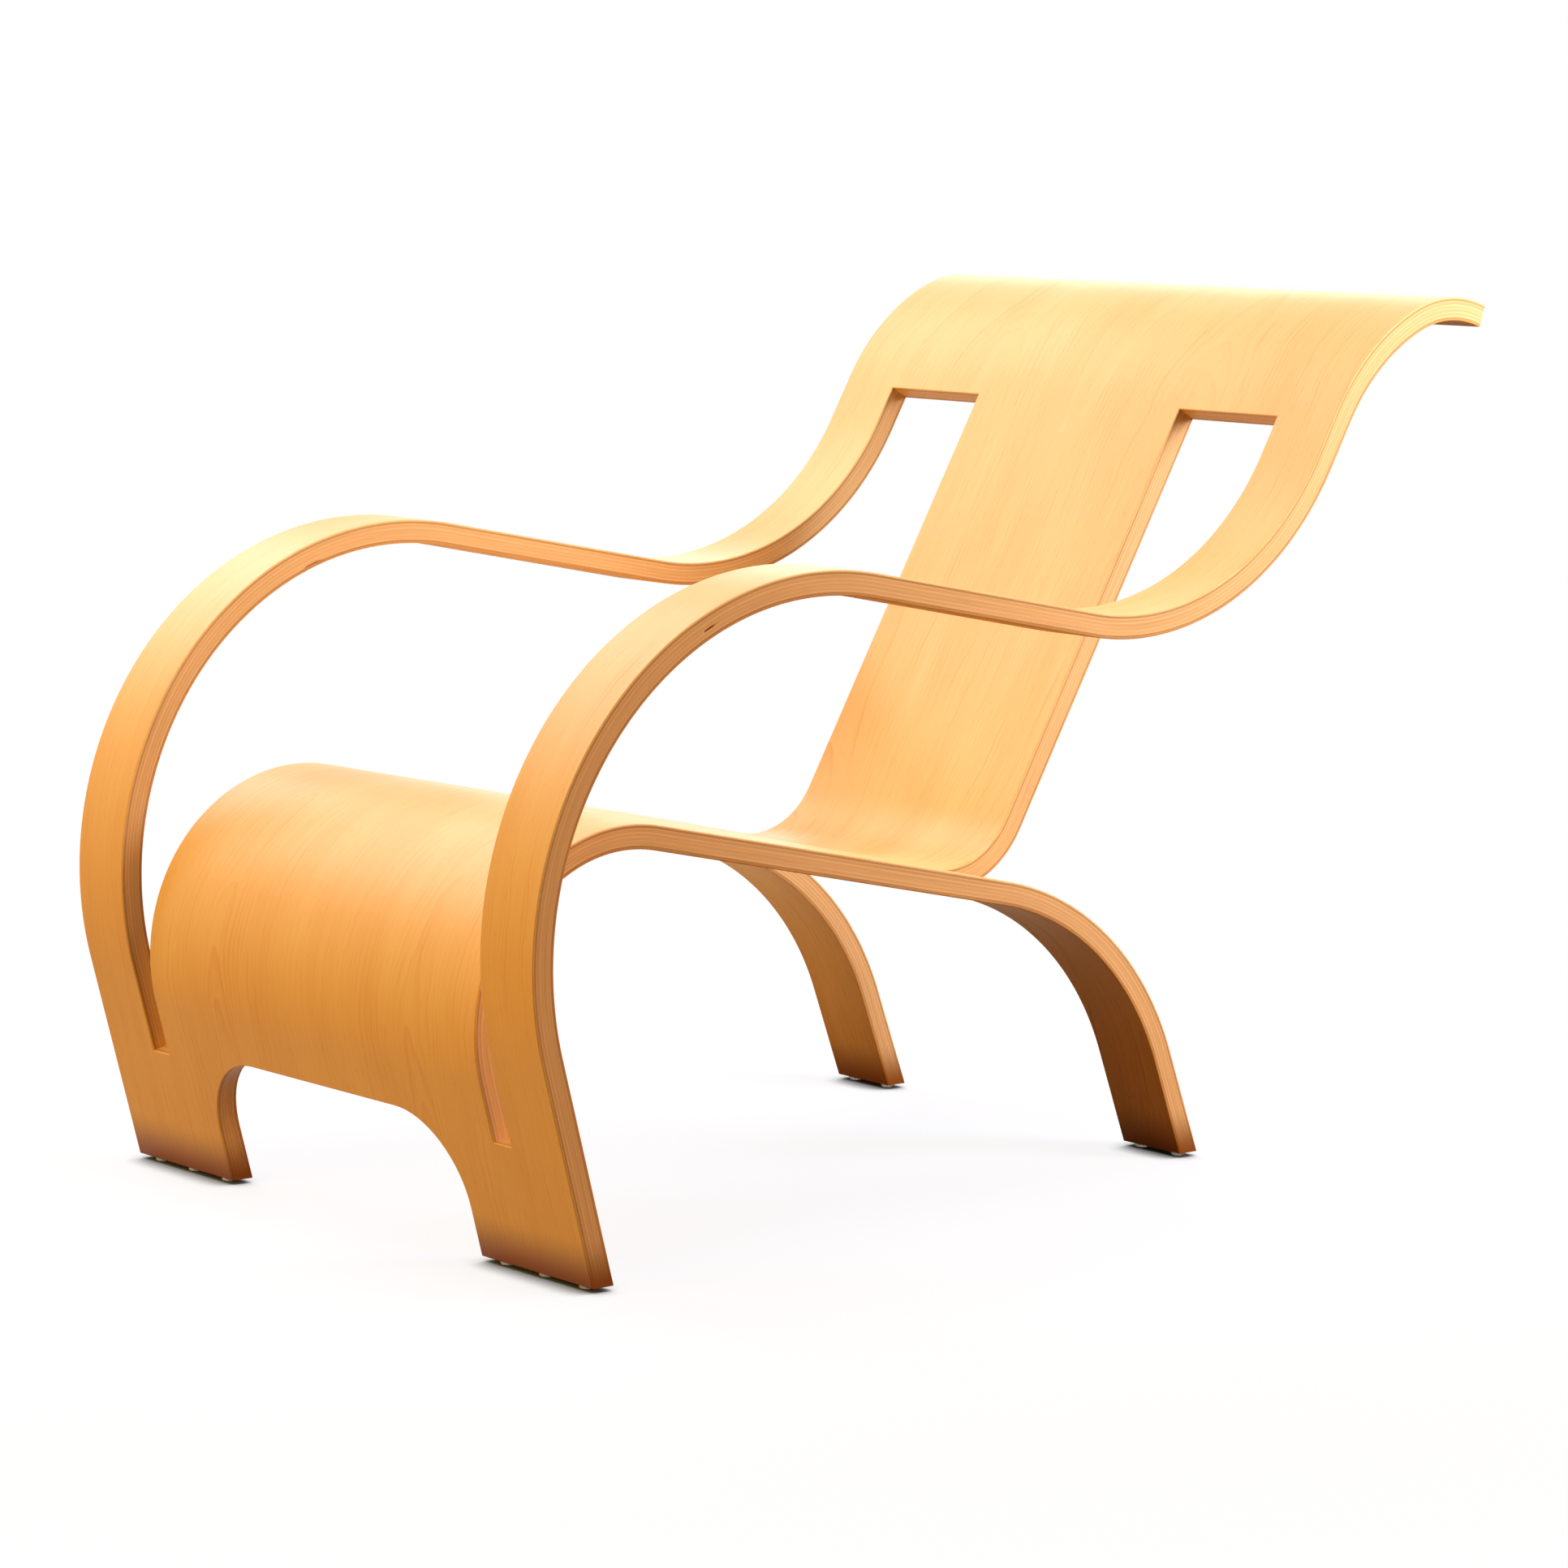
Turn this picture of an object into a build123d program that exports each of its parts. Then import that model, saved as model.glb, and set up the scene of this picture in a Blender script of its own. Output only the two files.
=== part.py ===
from build123d import *
import os
from collections import namedtuple
from math import cos, radians, sin, tan

# Lounge chair bent from one slotted blank of plywood.
# The blank is thirteen veneers glued together, with the grain turned in every second one. Two long slots
# part it into two arm strips and a middle strip, and two shorter slots part the rear legs from the back.
# The strips stay joined above the front feet and at the headrest.
# The chair faces -Y, the sitter's left is +X and +Z is up. The origin is on the floor, under the middle
# of the chair's box. Sizes are in millimetres and degrees.

# Sheet
PLY_COUNT = 13
PLY_THICKNESS = 1.5

# Strips and slots across the blank
BACK_WIDTH = 252
LEG_SLOT = 25.5
LEG_WIDTH = 67.5
ARM_SLOT = 22
ARM_WIDTH = 64

# Front feet, measured along the sheet from the floor end
FOOT_LEAN = 15.5
SLOT_START = 103
ARCH_WIDTH = 337
ARCH_HEIGHT = 112
ARCH_RADIUS = 72

# Side view of the arm strips, along the show face
ARM_RISER = 177
ARM_BEND_RADIUS = 277
ARM_FALL = 10.5
ARM_RUN = 234
SWEEP_RADIUS = 235.5
BACK_SLOPE = 60.25

# Headrest above the sweep: a short straight shoulder, then a roll that tightens to the rear edge
SHOULDER_RUN = 42.5
JOINT_TO_ROLL = 9
ROLL_RADIUS = 193
ROLL_TURN = 37
CREST_RADIUS = 114
CREST_FALL = 19
TIP_RUN = 3

# Side view of the middle strip
SEAT_RISER = 150
SEAT_ROLL_RADIUS = 145
SEAT_FALL = 11.85
BACK_BEND_RADIUS = 72

# Rear legs
LEG_LEAD = 4
SPLIT_LEAD = 6
KNEE_RADIUS = 257
LEG_RAKE = 20.85

# Nail-on glides under the feet
GLIDE_HEIGHT = 4
GLIDE_DIAMETER = 12
GLIDE_EDGE_RADIUS = 1.5
FRONT_GLIDE_PITCH = 48.5
REAR_GLIDE_PITCH = 44
NAIL_DIAMETER = 1.8
NAIL_DEPTH = 13
NAIL_POINT = 2.5
NAIL_HEAD_DIAMETER = 5
NAIL_HEAD_THICKNESS = 1
NAIL_HEAD_COVER = 1.8

# Worked-out widths and levels
sheet_thickness = PLY_COUNT * PLY_THICKNESS
back_edge = BACK_WIDTH / 2
leg_inner_edge = back_edge + LEG_SLOT
seat_edge = leg_inner_edge + LEG_WIDTH
arm_inner_edge = seat_edge + ARM_SLOT
arm_edge = arm_inner_edge + ARM_WIDTH
upright = 90 + FOOT_LEAN

# A place is a point of the side view with the heading of the sheet there, 0 to the rear and 90 up.
# A bend with a positive turn curls towards the underside of the sheet, and one with a negative turn
# towards its show face.
Place = namedtuple("Place", "y z heading")
Run = namedtuple("Run", "length")
Bend = namedtuple("Bend", "radius turn")


def ahead(place, length):
    """The place after a straight run."""
    angle = radians(place.heading)
    return Place(place.y + length * cos(angle), place.z + length * sin(angle), place.heading)


def inward(place, depth):
    """The place moved into the sheet, square to the show face."""
    angle = radians(place.heading)
    return Place(place.y + depth * sin(angle), place.z - depth * cos(angle), place.heading)


def walk(place, steps):
    """The place on the show face after a list of runs and bends."""
    for step in steps:
        if isinstance(step, Run):
            place = ahead(place, step.length)
        else:
            reach = step.radius if step.turn > 0 else -step.radius
            centre = inward(place, reach)
            turned = Place(centre.y, centre.z, place.heading - step.turn)
            place = inward(turned, -reach)
    return place


# Side view of the arm strips, from the foot to the rear edge of the headrest
arm_bend = Bend(ARM_BEND_RADIUS, upright + ARM_FALL)
sweep = Bend(SWEEP_RADIUS, -(ARM_FALL + BACK_SLOPE))
shoulder_to_joint = Run(SHOULDER_RUN - JOINT_TO_ROLL)
roll = Bend(ROLL_RADIUS, ROLL_TURN)
crest = Bend(CREST_RADIUS, BACK_SLOPE - ROLL_TURN + CREST_FALL)
arm_steps = [Run(ARM_RISER - SLOT_START), arm_bend, Run(ARM_RUN), sweep, shoulder_to_joint]
head_steps = [Run(JOINT_TO_ROLL), roll, crest, Run(TIP_RUN)]

# The front of the arms and the rear edge of the headrest lie equally far from the origin
origin_foot = Place(0, GLIDE_HEIGHT, upright)
bulge = walk(origin_foot, [Run(ARM_RISER), Bend(ARM_BEND_RADIUS, FOOT_LEAN)])
rear_edge = walk(origin_foot, [Run(SLOT_START)] + arm_steps + head_steps)
foot = Place(-(bulge.y + rear_edge.y) / 2, GLIDE_HEIGHT, upright)
slot_end = ahead(foot, SLOT_START)
head_joint = walk(slot_end, arm_steps)

# The seat runs back until the line of the back meets the line of the headrest's shoulder
seat_roll = Bend(SEAT_ROLL_RADIUS, upright + SEAT_FALL)
back_bend = Bend(BACK_BEND_RADIUS, -(SEAT_FALL + BACK_SLOPE))
seat_front = walk(slot_end, [Run(SEAT_RISER - SLOT_START), seat_roll])
short_back = walk(seat_front, [back_bend])
missing_y = head_joint.y - short_back.y
missing_z = head_joint.z - short_back.z
slope = radians(BACK_SLOPE)
fall = radians(SEAT_FALL)
seat_run = (missing_y * sin(slope) - missing_z * cos(slope)) / sin(slope + fall)
back_run = (missing_z + seat_run * sin(fall)) / sin(slope)

# The rear legs leave the seat just ahead of the back's bend and end level with the front feet
split = ahead(seat_front, seat_run - LEG_LEAD - SPLIT_LEAD)
knee = Bend(KNEE_RADIUS, 90 - LEG_RAKE - SEAT_FALL)
shin = walk(split, [Run(SPLIT_LEAD), knee])
shin_run = (shin.z - GLIDE_HEIGHT) / cos(radians(LEG_RAKE))
heel = ahead(shin, shin_run)

base_steps = [Run(SLOT_START)]
seat_steps = [Run(SEAT_RISER - SLOT_START), seat_roll, Run(seat_run - LEG_LEAD - SPLIT_LEAD)]
back_steps = [Run(LEG_LEAD + SPLIT_LEAD), back_bend, Run(back_run)]
leg_steps = [Run(SPLIT_LEAD), knee, Run(shin_run)]


def draw_face(place, steps, depth, start_shift, end_shift):
    """Draw one face of a veneer in the side view, and return its two ends.

    The runs and bends of the show face are followed at a depth. start_shift and end_shift lengthen the
    first and the last run, for ends that are cut level with the floor.
    """
    shifts = [0] * len(steps)
    shifts[0] += start_shift
    shifts[-1] += end_shift
    here = ahead(inward(place, depth), -start_shift)
    start = (here.y, here.z)
    for step, shift in zip(steps, shifts):
        if isinstance(step, Run):
            there = ahead(here, step.length + shift)
            Line((here.y, here.z), (there.y, there.z))
        else:
            side = 1 if step.turn > 0 else -1
            radius = step.radius - side * depth
            angle = radians(here.heading)
            JernArc((here.y, here.z), (cos(angle), sin(angle)), radius, -step.turn)
            there = walk(here, [Bend(radius, step.turn)])
        here = there
    return start, (here.y, here.z)


def draw_strip(place, steps, top, bottom, start_lean=0, end_lean=0):
    """Draw the outline of a veneer's strip between two depths of the sheet."""
    ends = []
    for depth in (top, bottom):
        start_shift = depth * tan(radians(start_lean))
        end_shift = -depth * tan(radians(end_lean))
        ends.append(draw_face(place, steps, depth, start_shift, end_shift))
    Line(ends[0][0], ends[1][0])
    Line(ends[0][1], ends[1][1])


def bend_strip(place, steps, top, bottom, inner, outer, start_lean=0, end_lean=0):
    """Add a strip of veneer that lies between two distances from the middle, on both sides."""
    with BuildSketch(Plane.YZ.offset(inner)) as side_view:
        with BuildLine():
            draw_strip(place, steps, top, bottom, start_lean, end_lean)
        make_face()
    strip = extrude(to_extrude=side_view.sketch, amount=outer - inner)
    mirror(strip, about=Plane.YZ)


def nail_outline():
    """Draw half of a nail's section: head, shank and point, on the axis of the glide."""
    head_bottom = NAIL_HEAD_COVER
    head_top = head_bottom + NAIL_HEAD_THICKNESS
    tip = GLIDE_HEIGHT + NAIL_DEPTH
    Polyline(
        (0, head_bottom),
        (NAIL_HEAD_DIAMETER / 2, head_bottom),
        (NAIL_HEAD_DIAMETER / 2, head_top),
        (NAIL_DIAMETER / 2, head_top),
        (NAIL_DIAMETER / 2, tip - NAIL_POINT),
        (0, tip),
        close=True,
    )


# Middles of the foot ends, where the glides are nailed
front_sole = foot.y + sheet_thickness / cos(radians(FOOT_LEAN)) / 2
rear_sole = heel.y - sheet_thickness / cos(radians(LEG_RAKE)) / 2
front_foot_middle = (ARCH_WIDTH / 2 + arm_edge) / 2
rear_foot_middle = (leg_inner_edge + seat_edge) / 2
glide_spots = {}
for side_name, side in (("left", 1), ("right", -1)):
    for spot_name, offset in (("inner", -1), ("middle", 0), ("outer", 1)):
        spot_x = side * (front_foot_middle + offset * FRONT_GLIDE_PITCH)
        glide_spots[f"front_{side_name}_{spot_name}"] = (spot_x, front_sole)
    for spot_name, offset in (("inner", -0.5), ("outer", 0.5)):
        spot_x = side * (rear_foot_middle + offset * REAR_GLIDE_PITCH)
        glide_spots[f"rear_{side_name}_{spot_name}"] = (spot_x, rear_sole)

os.makedirs("parts", exist_ok=True)

# Glide nails
nails = []
for spot_name, (spot_x, spot_y) in glide_spots.items():
    with BuildPart() as nail:
        with BuildSketch(Plane.XZ.offset(-spot_y).move(Location((spot_x, 0, 0)))):
            with BuildLine():
                nail_outline()
            make_face()
        revolve(axis=Axis((spot_x, spot_y, 0), (0, 0, 1)))
    nail.part.label = f"{spot_name}_nail"
    export_step(nail.part, f"parts/{nail.part.label}.step")
    nails.append(nail.part)

# Glide caps, moulded around the nail heads
for nail_part, (spot_name, (spot_x, spot_y)) in zip(nails, glide_spots.items()):
    with BuildPart() as glide:
        with Locations((spot_x, spot_y, GLIDE_HEIGHT / 2)):
            Cylinder(GLIDE_DIAMETER / 2, GLIDE_HEIGHT)
        fillet(glide.edges().group_by(Axis.Z)[0], GLIDE_EDGE_RADIUS)
        add(nail_part, mode=Mode.SUBTRACT)
    glide.part.label = f"{spot_name}_glide"
    export_step(glide.part, f"parts/{glide.part.label}.step")

# Veneers, from the show face to the underside
foot_plane = Plane(
    origin=(0, foot.y, foot.z),
    x_dir=(1, 0, 0),
    z_dir=(0, -cos(radians(FOOT_LEAN)), -sin(radians(FOOT_LEAN))),
)
for ply in range(1, PLY_COUNT + 1):
    top = (ply - 1) * PLY_THICKNESS
    bottom = ply * PLY_THICKNESS
    with BuildPart() as veneer:
        bend_strip(foot, base_steps, top, bottom, 0, arm_edge, start_lean=FOOT_LEAN)
        bend_strip(slot_end, arm_steps, top, bottom, arm_inner_edge, arm_edge)
        bend_strip(head_joint, head_steps, top, bottom, 0, arm_edge)
        bend_strip(slot_end, seat_steps, top, bottom, 0, seat_edge)
        bend_strip(split, back_steps, top, bottom, 0, back_edge)
        bend_strip(split, leg_steps, top, bottom, leg_inner_edge, seat_edge, end_lean=LEG_RAKE)
        with BuildSketch(foot_plane) as arch:
            Rectangle(ARCH_WIDTH, 2 * ARCH_HEIGHT)
            fillet(arch.vertices().group_by(Axis.Y)[-1], ARCH_RADIUS)
        extrude(amount=2 * sheet_thickness, both=True, mode=Mode.SUBTRACT)
        add(nails, mode=Mode.SUBTRACT)
    if ply == 1:
        veneer.part.label = "show_face_veneer"
    elif ply == PLY_COUNT:
        veneer.part.label = "under_face_veneer"
    elif ply % 2:
        veneer.part.label = f"long_veneer_{ply:02d}"
    else:
        veneer.part.label = f"cross_veneer_{ply:02d}"
    export_step(veneer.part, f"parts/{veneer.part.label}.step")
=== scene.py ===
"""Lounge chair bent from one slotted blank of birch plywood, standing on nylon glides.

The thirteen veneers are cut flat, the arrises of the two outer ones are eased, and each is then bent over
the chair's side view. Lengths are in millimetres and angles in degrees until a mesh is made, in metres. The
floor and the lamps are given in metres.
"""
from collections import namedtuple
from math import asin, ceil, cos, degrees, radians, sin, sqrt, tan

import bmesh
import bpy
from mathutils import Matrix, Vector


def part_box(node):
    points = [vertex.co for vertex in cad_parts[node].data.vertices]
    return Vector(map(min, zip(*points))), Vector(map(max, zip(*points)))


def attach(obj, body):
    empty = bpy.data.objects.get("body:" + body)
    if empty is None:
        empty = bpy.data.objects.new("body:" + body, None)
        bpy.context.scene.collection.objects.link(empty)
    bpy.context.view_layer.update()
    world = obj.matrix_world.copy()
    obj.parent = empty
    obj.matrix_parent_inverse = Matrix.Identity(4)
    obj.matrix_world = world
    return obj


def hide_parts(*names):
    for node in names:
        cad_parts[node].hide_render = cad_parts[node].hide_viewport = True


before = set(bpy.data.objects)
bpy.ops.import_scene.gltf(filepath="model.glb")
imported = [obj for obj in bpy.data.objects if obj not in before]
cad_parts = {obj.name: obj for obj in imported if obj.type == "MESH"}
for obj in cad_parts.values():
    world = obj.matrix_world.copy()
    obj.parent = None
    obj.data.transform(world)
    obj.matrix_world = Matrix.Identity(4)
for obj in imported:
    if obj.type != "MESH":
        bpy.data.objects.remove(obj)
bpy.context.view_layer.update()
MM = 0.001

# Sheet
PLY_COUNT = 13
PLY_THICKNESS = 1.5
SHEET = PLY_COUNT * PLY_THICKNESS
ARRIS_RADIUS = 1.0
ARRIS_SEGMENTS = 3

# Strips and slots across the blank, as distances from the middle
BACK_EDGE = 126
LEG_INNER_EDGE = 151.5
SEAT_EDGE = 219
ARM_INNER_EDGE = 241
ARM_EDGE = 305

# Gaps in the edges of inner plies: the ply, counted from the show face as 0, and the arm edge it opens in
Void = namedtuple("Void", "ply edge start end depth")
EDGE_VOIDS = [
    Void(ply=7, edge=ARM_EDGE, start=558, end=570, depth=2.5),
    Void(ply=10, edge=-ARM_INNER_EDGE, start=580, end=600, depth=2.0),
]

# Front feet, along the sheet from the floor end
GLIDE_HEIGHT = 4
FOOT_LEAN = 15.5
SLOT_START = 103
ARCH_EDGE = 168.5
ARCH_HEIGHT = 112
ARCH_RADIUS = 72

# Side view of the arm strips and the headrest, along the show face
ARM_RISER = 177
ARM_BEND_RADIUS = 277
ARM_FALL = 10.5
ARM_RUN = 234
SWEEP_RADIUS = 235.5
BACK_SLOPE = 60.25
SHOULDER_RUN = 42.5
JOINT_TO_ROLL = 9
ROLL_RADIUS = 193
ROLL_TURN = 37
CREST_RADIUS = 114
CREST_FALL = 19
TIP_RUN = 3

# Side view of the seat, the back and the rear legs
SEAT_RISER = 150
SEAT_ROLL_RADIUS = 145
SEAT_FALL = 11.85
BACK_BEND_RADIUS = 72
LEG_LEAD = 4
SPLIT_LEAD = 6
KNEE_RADIUS = 257
LEG_RAKE = 20.85

# How finely bends are drawn: the side view and the arch in degrees, the blank along its length
LINE_STEP = 1
ARCH_STEP = 6
STATION_GAP = 5

# How far the lines of the side view start below the floor, and how far up a foot its level cut is taken up
LINE_LEAD = 40
MITRE_REACH = 40

# Points are welded within this many metres, and lie in a face within this many millimetres
WELD_REACH = 1e-6
FACE_REACH = 0.01

# A face counts as turned one way from this share of its normal, and shading breaks at edges past this angle
TURNED_SHARE = 0.5
SHARP_ANGLE = 40

# Glides
GLIDE_DIAMETER = 12
GLIDE_EDGE_RADIUS = 1.5
GLIDE_SEGMENTS = 4
GLIDE_SIDES = 32

# Growth rings of the face veneers: the seam of the two leaves, the heart of each leaf beside the seam and
# behind the veneer, and how far heart and rings sway
SEAM_AT = 8
LEAF_HEART = 130
HEART_DEPTH = 4
HEART_SWAY = 22
LOG_TAPER = 0.05
RING_WIDTH = 3.6
RING_SWAY = 38
LATEWOOD_POWER = 3

# Sizes of the patterns in the wood, across, along and through the blank
RING_SWAY_SIZE = (120, 260, 7)
HEART_SWAY_SIZE = (500, 150, 7)
PATCH_SIZE = (40, 110, 7)
STREAK_SIZE = (1.6, 90, 3)
FLECK_SIZE = (1.1, 14, 3)
FACE_DRIFT_SIZE = (70, 300, 7)
EDGE_DRIFT_SIZE = (60, 110, 1.5)

# How much each pattern darkens the face veneers, from a ground that is paler than the palest wood, and how
# much the streaks change the lacquer's roughness
FACE_GROUND = -0.40
RING_SHADE = 0.42
STREAK_SHADE = 0.6
FLECK_SHADE = 0.5
FACE_DRIFT_SHADE = 0.95
SATIN_CHANGE = 0.06

# How much each pattern darkens the edges, the half width of a glue line and of its fading, how softly one
# ply passes into the next, and the brown that all of it darkens to
EDGE_GROUND = -0.48
GRAIN_SHADE = 0.5
EDGE_DRIFT_SHADE = 0.45
PLY_SHADE = 0.12
GLUE_SHADE = 0.22
GLUE_WIDTH = 0.04
GLUE_FADE = 0.14
PLY_BLUR = 0.15
EDGE_BROWN = "7A3F12"

# Painted shade on the feet: the height above the floor that it reaches, its strength at the floor and its
# colour
FLOOR_SHADE_TO = 45
FLOOR_SHADE_STRENGTH = 0.94
FLOOR_SHADE_BROWN = "8C4A00"

# Floor: its size in metres, how far from its middle the shadow starts to fade and is gone, also in metres,
# how far from a foot its painted contact shadow reaches, and how brightly the floor glows beside it
FLOOR_SIZE = 14
FADE_START = 0.6
FADE_END = 1.4
CONTACT_SHADE_REACH = 30
FLOOR_GLOW = 0.86
WHITE = "FFFFFF"

# Camera, as it stood for the photograph
CAMERA_AZIMUTH = 49.73
CAMERA_ELEVATION = 7.63
CAMERA_ROLL = 0.70
CAMERA_DISTANCE = 4078.7
CAMERA_AIM = (58.2, -55.6, 323.2)
CAMERA_LENS = 114.66
CAMERA_SENSOR = 36


def colour(code):
    """The linear colour of an sRGB hex value."""
    shares = [int(code[i:i + 2], 16) / 255 for i in (0, 2, 4)]
    linear = [c / 12.92 if c <= 0.04045 else ((c + 0.055) / 1.055) ** 2.4 for c in shares]
    return (*linear, 1.0)


def add(tree, kind, links=None, **settings):
    """Add a node. links gives its inputs, by name or number.

    A node given there is joined by its first output, a socket is joined itself, and any other value is set.
    The kinds of Mix share their names, so a Mix goes by numbers: 0 is its factor, 6 and 7 are its colours,
    and output 2 is their mix. Its vectors are 4 and 5, and output 1 is their mix.
    """
    made = tree.nodes.new(kind)
    for name, value in settings.items():
        setattr(made, name, value)
    for name, value in (links or {}).items():
        if isinstance(value, bpy.types.Node):
            value = value.outputs[0]
        if isinstance(value, bpy.types.NodeSocket):
            tree.links.new(value, made.inputs[name])
        else:
            made.inputs[name].default_value = value
    return made


def new_object(name, data):
    """An object in the scene."""
    made = bpy.data.objects.new(name, data)
    bpy.context.scene.collection.objects.link(made)
    return made


# Side view
# A place is a point with the heading of the sheet there, 0 to the rear and 90 up. A bend with a positive
# turn curls towards the underside of the sheet, and one with a negative turn towards its show face.
Place = namedtuple("Place", "y z heading")
Run = namedtuple("Run", "length")
Bend = namedtuple("Bend", "radius turn")


def ahead(place, length):
    """The place after a straight run."""
    angle = radians(place.heading)
    return Place(place.y + length * cos(angle), place.z + length * sin(angle), place.heading)


def inward(place, depth):
    """The place moved into the sheet, square to the show face."""
    angle = radians(place.heading)
    return Place(place.y + depth * sin(angle), place.z - depth * cos(angle), place.heading)


def trace(place, steps):
    """The places along runs and bends, with a bend drawn in small steps."""
    places = [place]
    for step in steps:
        start = places[-1]
        if isinstance(step, Run):
            places.append(ahead(start, step.length))
            continue
        reach = step.radius if step.turn > 0 else -step.radius
        centre = inward(start, reach)
        pieces = ceil(abs(step.turn) / LINE_STEP)
        for k in range(1, pieces + 1):
            turned = Place(centre.y, centre.z, start.heading - step.turn * k / pieces)
            places.append(inward(turned, -reach))
    return places


def lengths(places):
    """How far along the line each place lies, from its first one."""
    runs = [0.0]
    for a, b in zip(places, places[1:]):
        runs.append(runs[-1] + sqrt((b.y - a.y) ** 2 + (b.z - a.z) ** 2))
    return runs


upright = 90 + FOOT_LEAN
arm_steps = [
    Run(ARM_RISER - SLOT_START),
    Bend(ARM_BEND_RADIUS, upright + ARM_FALL),
    Run(ARM_RUN),
    Bend(SWEEP_RADIUS, -(ARM_FALL + BACK_SLOPE)),
    Run(SHOULDER_RUN - JOINT_TO_ROLL),
]
head_steps = [
    Run(JOINT_TO_ROLL),
    Bend(ROLL_RADIUS, ROLL_TURN),
    Bend(CREST_RADIUS, BACK_SLOPE - ROLL_TURN + CREST_FALL),
    Run(TIP_RUN),
]
seat_roll = Bend(SEAT_ROLL_RADIUS, upright + SEAT_FALL)
back_bend = Bend(BACK_BEND_RADIUS, -(SEAT_FALL + BACK_SLOPE))

# The middle of the chair's box lies half-way between the front of the arms and the headrest's rear edge
origin_foot = Place(0, GLIDE_HEIGHT, upright)
outline = trace(origin_foot, [Run(SLOT_START)] + arm_steps + head_steps)
foot = origin_foot._replace(y=-(min(p.y for p in outline) + outline[-1].y) / 2)
slot_end = ahead(foot, SLOT_START)
head_joint = trace(slot_end, arm_steps)[-1]

# The seat runs back until the line of the back meets the line of the headrest's shoulder
seat_front = trace(slot_end, [Run(SEAT_RISER - SLOT_START), seat_roll])[-1]
short_back = trace(seat_front, [back_bend])[-1]
missing_y = head_joint.y - short_back.y
missing_z = head_joint.z - short_back.z
slope = radians(BACK_SLOPE)
fall = radians(SEAT_FALL)
seat_run = (missing_y * sin(slope) - missing_z * cos(slope)) / sin(slope + fall)
back_run = (missing_z + seat_run * sin(fall)) / sin(slope)

seat_steps = [Run(SEAT_RISER - SLOT_START), seat_roll, Run(seat_run - LEG_LEAD - SPLIT_LEAD)]
back_steps = [Run(LEG_LEAD + SPLIT_LEAD), back_bend, Run(back_run)]
knee_steps = [Run(SPLIT_LEAD), Bend(KNEE_RADIUS, 90 - LEG_RAKE - SEAT_FALL)]
split = trace(slot_end, seat_steps)[-1]
shin = trace(split, knee_steps)[-1]
leg_steps = knee_steps + [Run((shin.z - GLIDE_HEIGHT) / cos(radians(LEG_RAKE)))]

# The three lines that the blank is bent over, each from a little below the floor
base_steps = [Run(LINE_LEAD), Run(SLOT_START)]
line_start = ahead(foot, -LINE_LEAD)
arm_line = trace(line_start, base_steps + arm_steps + head_steps)
seat_line = trace(line_start, base_steps + seat_steps + back_steps)
leg_line = trace(line_start, base_steps + seat_steps + leg_steps)
LINES = {"arm_line": arm_line, "seat_line": seat_line, "leg_line": leg_line}
ARM, SEAT, LEG = range(len(LINES))

# Where the strips meet, measured along the flat blank
split_at = lengths(seat_line)[len(trace(line_start, base_steps + seat_steps)) - 1] - LINE_LEAD
joint_at = lengths(seat_line)[-1] - LINE_LEAD
leg_end_at = lengths(leg_line)[-1] - LINE_LEAD
arm_joint_at = lengths(arm_line)[len(trace(line_start, base_steps + arm_steps)) - 1] - LINE_LEAD
tip_at = joint_at + lengths(arm_line)[-1] - LINE_LEAD - arm_joint_at


# Materials
def new_material(name):
    """An empty material and its node tree."""
    material = bpy.data.materials.new(name)
    material.use_nodes = True
    material.node_tree.nodes.clear()
    return material, material.node_tree


def show_surface(tree, surface):
    """Make a shader the material's surface."""
    add(tree, "ShaderNodeOutputMaterial", {"Surface": surface})


def scale_for(size):
    """The scale at which a pattern comes out this size along each axis."""
    return tuple(1 / length for length in size)


def mottle(tree, place, size, detail, roughness=0.5):
    """Soft noise from 0 to 1, with spots of about this size along each axis of the place."""
    spread = add(tree, "ShaderNodeMapping", {"Vector": place, "Scale": scale_for(size)})
    return add(tree, "ShaderNodeTexNoise", {
        "Vector": spread, "Scale": 1.0, "Detail": detail, "Roughness": roughness})


def darkness(tree, ground, patterns):
    """How dark the wood is, from 0 to 1: its ground, and each pattern times its share."""
    total = ground
    for pattern, share in patterns:
        total = add(tree, "ShaderNodeMath", {0: pattern, 1: share, 2: total}, operation="MULTIPLY_ADD")
    total.use_clamp = True
    return total


# Painted shade: the wood darkens towards the floor, where shade falls
def shaded_near_floor(tree, wood):
    """The wood's colour with painted shade, darkened towards the floor."""
    place = add(tree, "ShaderNodeTexCoord").outputs["Object"]
    height = add(tree, "ShaderNodeSeparateXYZ", {0: place}).outputs["Z"]
    unshaded_share = add(tree, "ShaderNodeMapRange", {
        "Value": height, "From Min": GLIDE_HEIGHT * MM, "From Max": FLOOR_SHADE_TO * MM},
        interpolation_type="SMOOTHSTEP")
    # The painted shade near the floor, mixed into the wood's colour
    floor_shaded = add(tree, "ShaderNodeMix", {0: FLOOR_SHADE_STRENGTH, 6: wood, 7: colour(FLOOR_SHADE_BROWN)}, data_type="RGBA")
    return add(tree, "ShaderNodeMix", {0: unshaded_share, 6: floor_shaded.outputs[2], 7: wood}, data_type="RGBA").outputs[2]


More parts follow.
